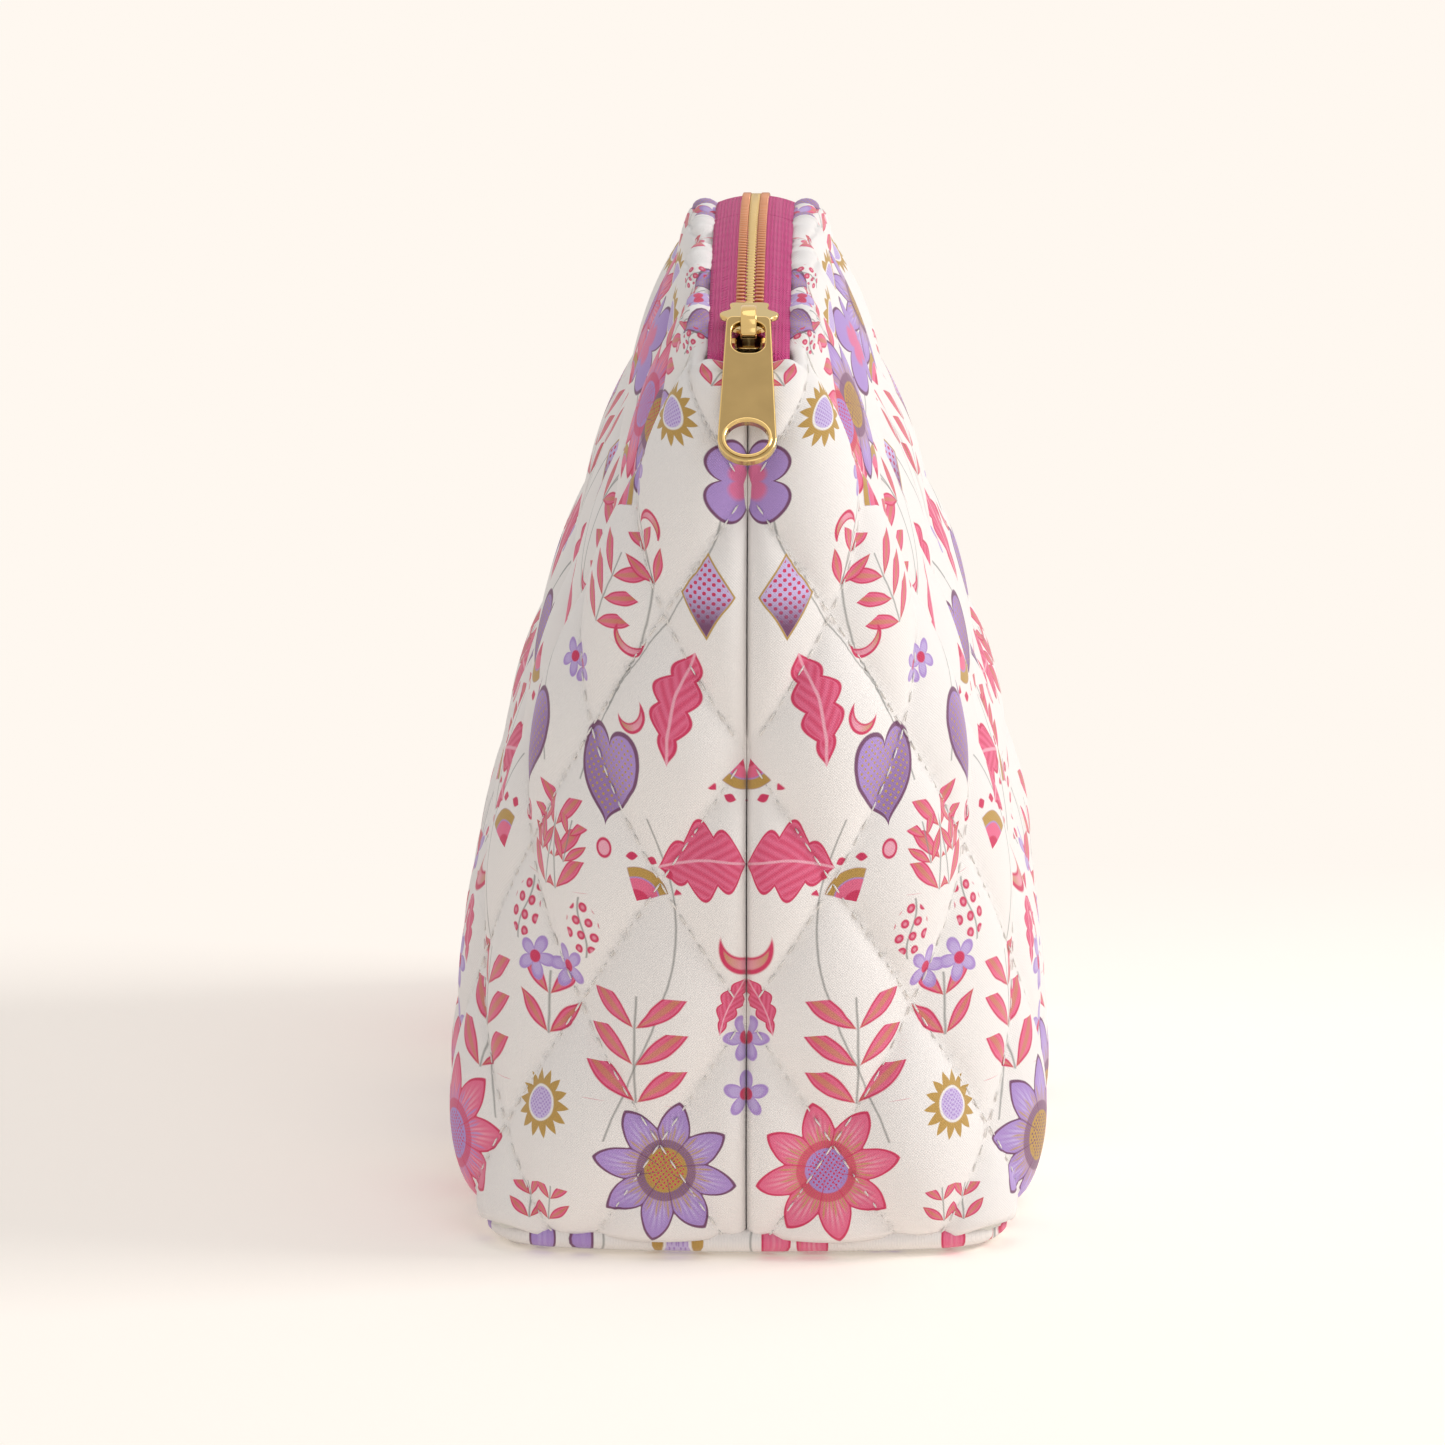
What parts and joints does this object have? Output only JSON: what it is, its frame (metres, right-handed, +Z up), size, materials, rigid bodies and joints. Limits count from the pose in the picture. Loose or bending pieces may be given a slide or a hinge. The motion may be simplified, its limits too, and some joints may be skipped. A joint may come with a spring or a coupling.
{
  "type": "makeup bag",
  "caption": "Wedge-shaped quilted cotton makeup bag with an arched metal zip along its top, a sliding zip slider, a swinging pull and a mouth that opens.",
  "frame": {"origin": "on the floor, under the middle of the base", "axes": "+Z up; the zip and the bag's length run along Y, the closed slider is at the -Y end; X is across the bag"},
  "size_m": [0.1278, 0.2594, 0.2097],
  "materials": {
    "printed_cotton": "plain-woven off-white cotton with a floral print, quilted",
    "cotton_wadding": "needled cotton wadding",
    "cotton_lining": "plain-woven off-white cotton",
    "binding_tape": "folded cotton bias tape",
    "zip_tape": "woven magenta zip tape",
    "brass_teeth": "rose-gold plated",
    "satin_gold": "satin pale gold plating",
    "polished_gold": "polished pale gold plating"
  },
  "bodies": {
    "base": {"cover_base": "printed_cotton", "wadding_base": "cotton_wadding", "lining_base": "cotton_lining", "binding_base": "binding_tape", "binding_side_near": "binding_tape", "binding_side_far": "binding_tape", "top_stop_right": "brass_teeth", "top_stop_left": "brass_teeth", "bottom_stop": "brass_teeth"},
    "right_side": {"cover_right": "printed_cotton", "wadding_right": "cotton_wadding", "lining_right": "cotton_lining", "zip_tape_right": "zip_tape", "zip_teeth_right": "brass_teeth"},
    "left_side": {"cover_left": "printed_cotton", "wadding_left": "cotton_wadding", "lining_left": "cotton_lining", "zip_tape_left": "zip_tape", "zip_teeth_left": "brass_teeth"},
    "slider": {"slider_body": "satin_gold", "slider_bridge": "polished_gold"},
    "pull": {"pull_tab": "satin_gold"}
  },
  "joints": [
    {"name": "slider_travel", "type": "hinge", "parent": "base", "child": "slider", "pos_m": [0, 0, -0.1315], "axis": [-1, 0, 0], "range_deg": [0, 28.8]},
    {"name": "pull_swing", "type": "hinge", "parent": "slider", "child": "pull", "pos_m": [0, -0.09321, 0.20051], "axis": [-1, 0, 0], "range_deg": [0, 195]},
    {"name": "right_side_open", "type": "hinge", "parent": "base", "child": "right_side", "pos_m": [0.057, 0, 0.0043], "axis": [0, 1, 0], "range_deg": [0, 12], "deforming": ["zip_tape_right", "zip_teeth_right"]},
    {"name": "left_side_open", "type": "hinge", "parent": "base", "child": "left_side", "pos_m": [-0.057, 0, 0.0043], "axis": [0, -1, 0], "range_deg": [0, 12], "deforming": ["zip_tape_left", "zip_teeth_left"]}
  ],
  "couplings": [
    {"joint": "pull_swing", "follows": "slider_travel", "ratio": 6.7641},
    {"joint": "right_side_open", "follows": "slider_travel", "ratio": 0.41625},
    {"joint": "left_side_open", "follows": "slider_travel", "ratio": 0.41625}
  ]
}
